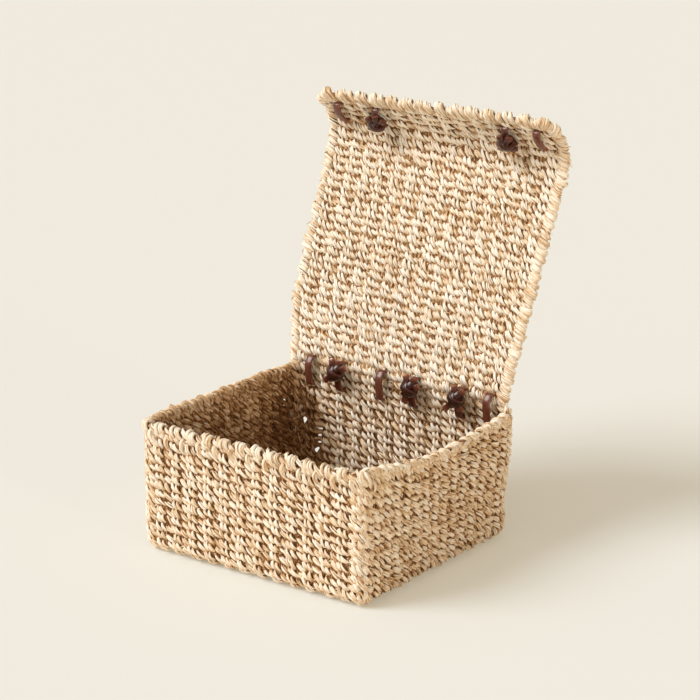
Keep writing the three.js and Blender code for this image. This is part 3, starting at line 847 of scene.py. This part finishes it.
# Leather laces
def strip_section():
    """Section of a flat lace with rounded edges."""
    points = []
    for sx, sy in ((1, -1), (1, 1), (-1, 1), (-1, -1)):
        corner = [(1.0, 0.45), (0.95, 0.86), (0.86, 1.0)]
        if sx * sy < 0:
            corner = corner[::-1]
        points += [(sx * a, sy * b) for a, b in corner]
    return np.array(points)


STRIP = strip_section()
EDGE = np.where(np.abs(STRIP[:, 0]) > 0.9, 0.25, 0.0)  # how much redder the edges are
CUT = 0.5  # and the cut ends
STRAP_RINGS, BAR_RINGS, BAND_RINGS, LUMP_RINGS, TAIL_RINGS = 40, 18, 40, 9, 12
KNOT_TONE, STRAP_TONE, TIED_TONE, BAR_TONE = 0.05, 0.42, 0.3, 0.4
KNOT_OUT = 2.6  # how far the knot's middle stands off the lace under it
# Turn, half width, half height and lift of the bands of a knot
BANDS = ((0.95, 5.7, 2.9, 0.0), (-0.5, 4.6, 3.7, 0.3), (1.9, 4.2, 3.3, 0.5))
BAND_SIZE = (1.9, 1.3)
LUMP_LENGTH, LUMP_RADIUS, LUMP_LEAN = 4.4, 3.4, 0.3
HINGE_TIP, LIP_TIP = 0.4, 0.08
TAIL_WIDTHS, TAIL_THICK = (1.5, 2.0), 1.15  # half sizes
# Share of the way to a tail's end, and what is added there across, up and out
TAIL_STEPS = ((0.25, (0, 0, 0.6)), (0.62, (0, 0, 1.0)), (0.85, (0.3, 0, 0.5)), (1, (0, 0, 0)))
TAILS = {  # ends of the tails: across, up and out
    "left": ((-2.4, 8.2, 1.8), (2.6, 8.0, 0.6), (7.6, 4.4, 0.6), (-7.4, -6.0, 0.6)),
    "middle": ((-2.2, 8.2, 1.6), (3.8, 7.4, 0.8), (-2.6, -8.6, 0.8), (7.0, 2.5, 0.4)),
    "right": ((-1.0, 8.2, 1.6), (5.2, 6.4, 0.8), (-6.6, -6.8, 0.8), (4.0, -6.2, 0.6)),
}


def on_fold(x, depth, t):
    """Point depth inside the inner face at the fold: t is -1 at the wall's holes and 1 at the lid's."""
    z = t * (LID_HOLE if t > 0 else WALL_HOLE)
    p = np.array([0.0, -depth, z])
    if t > 0:
        c, s = math.cos(LEAN), math.sin(LEAN)
        p = np.array([0.0, -depth * c + z * s, z * c + depth * s])
    return p + AXIS + np.array([x, 0, 0])


def on_lip(x, depth, t):
    """The same at the lip, with the holes on both sides of its middle."""
    return lid_point(x, LIP_MIDDLE + t * LIP_HOLE, -LID_THICK / 2 - depth)[0]


def strip(strands, points, normal, tone, count):
    """A length of lace through points."""
    tones = tone + EDGE[None] + np.zeros((count, 1))
    tones[[0, -1]] += CUT
    if np.ndim(normal) == 2:
        normal = curve(normal, count)
    size = np.tile([LACE_WIDTH / 2, LACE_THICK / 2], (count, 1))
    strands.add(curve(points, count), normal, size, tones, STRIP)


def knot(strands, seat, side, up, out, tails, tip):
    """A tight knot: bands crossed over a lump, with stubby ends that are paler by tip where they are cut."""
    def laid(p):
        return seat + p[:, :1] * side + p[:, 1:2] * up + p[:, 2:] * out

    t = np.linspace(0, 2 * math.pi, BAND_RINGS)
    for turn, wide, tall, lift in BANDS:
        c, s = math.cos(turn), math.sin(turn)
        band = laid(np.stack([c * wide * np.cos(t), s * wide * np.cos(t), tall * np.sin(t) + lift], axis=1))
        size = np.tile(BAND_SIZE, (BAND_RINGS, 1))
        strands.add(band, unit(band - seat), size, KNOT_TONE + EDGE * 0.6, STRIP)
    run = np.linspace(-LUMP_LENGTH, LUMP_LENGTH, LUMP_RINGS)
    lump = laid(np.stack([run * LUMP_LEAN, run, np.zeros(LUMP_RINGS)], axis=1))
    swell = np.sqrt(np.clip(1 - np.linspace(-0.97, 0.97, LUMP_RINGS) ** 2, 0.05, 1))
    strands.add(lump, out, LUMP_RADIUS * swell, KNOT_TONE, EIGHT)
    for tail in tails:
        end = np.array(tail)
        steps = [end * share + more for share, more in TAIL_STEPS]
        size = np.stack([np.linspace(*TAIL_WIDTHS, TAIL_RINGS), np.full(TAIL_RINGS, TAIL_THICK)], axis=1)
        pale = tip * smooth(np.linspace(0, 1, TAIL_RINGS), 0.3, 1)[:, None]
        tones = KNOT_TONE + 0.1 + EDGE * (0.4 + tip) + pale
        tones[-1] += tip
        strands.add(laid(curve(steps, TAIL_RINGS)), out + 0.35 * side, size, tones, STRIP)


def lace(on, places, thick, tails, tip):
    """A lace through a weave this thick: two bars outside, a strap inside, and another under the knot."""
    strands = Strands()
    strap, tied = places
    outside = -thick + 0.3 - LACE_THICK / 2
    inward = unit(on(0, 1, 0) - on(0, 0, 0))
    up = unit(on(0, 0, 0.01) - on(0, 0, -0.01))
    for x, lift, tone in ((strap, 0.0, STRAP_TONE), (tied, 0.5, TIED_TONE)):
        bow = LACE_BOW + lift
        path = [
            on(x, outside, -1), on(x, -thick / 2, -1), on(x, LACE_BOW * 0.5, -0.97), on(x, bow, -0.55),
            on(x, LACE_BOW + lift * 1.3 + 0.5, 0),
            on(x, bow, 0.55), on(x, LACE_BOW * 0.5, 0.97), on(x, -thick / 2, 1), on(x, outside, 1),
        ]
        tangent = unit(np.gradient(curve(path, STRAP_RINGS), axis=0))
        strip(strands, path, np.cross(ACROSS, tangent)[::5], tone, STRAP_RINGS)
    span = np.linspace(min(strap, tied) - LACE_WIDTH / 2, max(strap, tied) + LACE_WIDTH / 2, 7)
    for t in (-1, 1):
        path = [on(x, outside - 0.25 * math.sin(k / 6 * math.pi), t) for k, x in enumerate(span)]
        strip(strands, path, -unit(on(0, 1, t) - on(0, 0, t)), BAR_TONE, BAR_RINGS)
    knot(strands, on(tied, LACE_BOW + KNOT_OUT, 0), ACROSS, up, inward, tails, tip)
    return strands


for label, places in HINGE_LACES.items():
    strands = lace(on_fold, places, WALL, TAILS[label], HINGE_TIP)
    obj = place(strands, f"hinge_lace_{label}_tied", "brown_leather", None, f"hinge_lace_{label}")
    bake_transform(obj)
for label, places in LIP_LACES.items():
    strands = lace(on_lip, places, LID_THICK, TAILS[label], LIP_TIP)
    place(strands, f"lip_lace_{label}_tied", "brown_leather", "lid", f"lip_lace_{label}")

# Stage, light and camera. Angles are in degrees, round from the front to the right and up.
LAMPS = [
    # Name, energy, spread, round, up and colour of a soft key from the left, a very broad fill from above it,
    # and a low bounce from the right
    ("key", 2.6, 34, -42, 42, (1.0, 1.0, 0.985)),
    ("fill", 0.75, 100, -40, 64, (1.0, 0.94, 0.84)),
    ("bounce", 0.75, 10, 75, 6, (1.0, 0.87, 0.70)),
]
WORLD_COLOUR, WORLD_STRENGTH = (1.0, 0.84, 0.66, 1), 0.3
PAPER, PAPER_SEEN, PAPER_GLOW = (0.88, 0.77, 0.62), (0.47, 0.512, 0.548), (0.356, 0.302, 0.215, 1)
GROUND_RADIUS, GROUND_DROP = 9, 0.0002  # in metres, like the camera's places
CAMERA_ROUND, CAMERA_UP, CAMERA_FAR, CAMERA_LENS = 36.5, 16.65, 1.4387, 127.03
CAMERA_ASIDE, CAMERA_HEIGHT = 0.01378, 0.11956  # of the point that it looks at


def towards(turn, rise):
    """Direction from the middle to a lamp or the camera."""
    turn, rise = math.radians(turn), math.radians(rise)
    return Vector((math.sin(turn) * math.cos(rise), -math.cos(turn) * math.cos(rise), math.sin(rise)))


def ground():
    bpy.ops.mesh.primitive_circle_add(
        vertices=64, radius=GROUND_RADIUS, fill_type="NGON", location=(0, 0, -GROUND_DROP),
    )
    made = bpy.context.object
    made.name = "ground"
    material, tree, shader = nodes_of("paper")
    path = node(tree, "ShaderNodeLightPath").outputs
    mirrored = maths(tree, "MAXIMUM", path["Is Glossy Ray"], path["Is Transmission Ray"])
    seen = maths(tree, "MAXIMUM", path["Is Camera Ray"], mirrored)
    tree.links.new(ramp(tree, seen, [(0.0, PAPER), (1.0, PAPER_SEEN)]), shader.inputs["Base Color"])
    shader.inputs["Emission Color"].default_value = PAPER_GLOW
    tree.links.new(seen, shader.inputs["Emission Strength"])
    shader.inputs["Roughness"].default_value = 0.9
    shader.inputs["Specular IOR Level"].default_value = 0.1
    made.data.materials.append(material)


def light():
    world = bpy.data.worlds.new("studio")
    bpy.context.scene.world = world
    world.use_nodes = True
    background = world.node_tree.nodes["Background"]
    background.inputs["Color"].default_value = WORLD_COLOUR
    background.inputs["Strength"].default_value = WORLD_STRENGTH
    for name, energy, spread, turn, rise, colour in LAMPS:
        lamp = bpy.data.lights.new(name, "SUN")
        lamp.energy = energy
        lamp.angle = math.radians(spread)
        lamp.color = colour
        lit = bpy.data.objects.new(name, lamp)
        lit.rotation_euler = towards(turn, rise).to_track_quat("Z", "Y").to_euler()
        bpy.context.scene.collection.objects.link(lit)


def camera():
    back = towards(CAMERA_ROUND, CAMERA_UP)
    right = Vector((math.cos(math.radians(CAMERA_ROUND)), math.sin(math.radians(CAMERA_ROUND)), 0))
    above = back.cross(right)
    spot = right * CAMERA_ASIDE + Vector((0, 0, CAMERA_HEIGHT)) + back * CAMERA_FAR
    data = bpy.data.cameras.new("camera")
    data.sensor_width = 36
    data.lens = CAMERA_LENS
    data.clip_end = 50
    eye = bpy.data.objects.new("camera", data)
    eye.matrix_world = Matrix((
        (right.x, above.x, back.x, spot.x),
        (right.y, above.y, back.y, spot.y),
        (right.z, above.z, back.z, spot.z),
        (0, 0, 0, 1),
    ))
    bpy.context.scene.collection.objects.link(eye)
    bpy.context.scene.camera = eye


ground()
light()
camera()
bpy.context.scene.view_settings.view_transform = "Standard"
